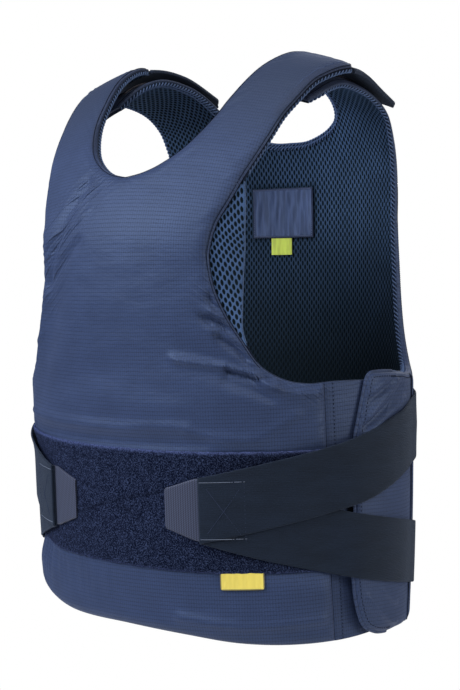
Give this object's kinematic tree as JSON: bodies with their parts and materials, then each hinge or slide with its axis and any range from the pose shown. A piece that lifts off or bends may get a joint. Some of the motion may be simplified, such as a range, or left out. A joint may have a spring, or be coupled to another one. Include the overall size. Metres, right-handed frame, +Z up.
{
  "type": "concealable bulletproof vest",
  "caption": "Soft concealable body armour vest: padded front and back panels with mesh lining, shoulder straps, side wings and crossing elastic bands with hook tabs.",
  "frame": {"origin": "on the vest's centre line, level with the tops of the shoulder straps, where the wearer's shoulders hold it up", "axes": "+Z up; the front of the vest faces -Y; the wearer's left is +X"},
  "size_m": [0.415, 0.3049, 0.5532],
  "materials": {
    "ripstop": "navy ripstop nylon with fine level ribs and a soft satin sheen",
    "spacer_mesh": "open navy spacer mesh with staggered oval holes",
    "loop_pile": "matte dark navy loop pile",
    "elastic": "matte ribbed elastic webbing, near black",
    "tongue": "stiff dark navy hook fastener, stitched round",
    "hook_tab": "moulded grey hook fastener with fine upright ribs",
    "satin_label": "bare navy satin label with stitched edge",
    "green_tag": "bare lime green woven tag",
    "yellow_tag": "bare yellow woven tag with a dark border"
  },
  "bodies": {
    "root": {"front_panel": "ripstop", "back_panel": "ripstop", "front_lining": "spacer_mesh", "back_lining": "spacer_mesh", "loop_field": "loop_pile", "shoulder_loop_left": "loop_pile", "shoulder_loop_right": "loop_pile", "elastic_upper_left": "elastic", "elastic_upper_right": "elastic", "elastic_lower_left": "elastic", "elastic_lower_right": "elastic", "shoulder_tongue_left": "tongue", "shoulder_tongue_right": "tongue", "hook_tab_left": "hook_tab", "hook_tab_right": "hook_tab", "back_label": "satin_label", "size_tag": "green_tag", "front_tag": "yellow_tag"}
  },
  "joints": []
}
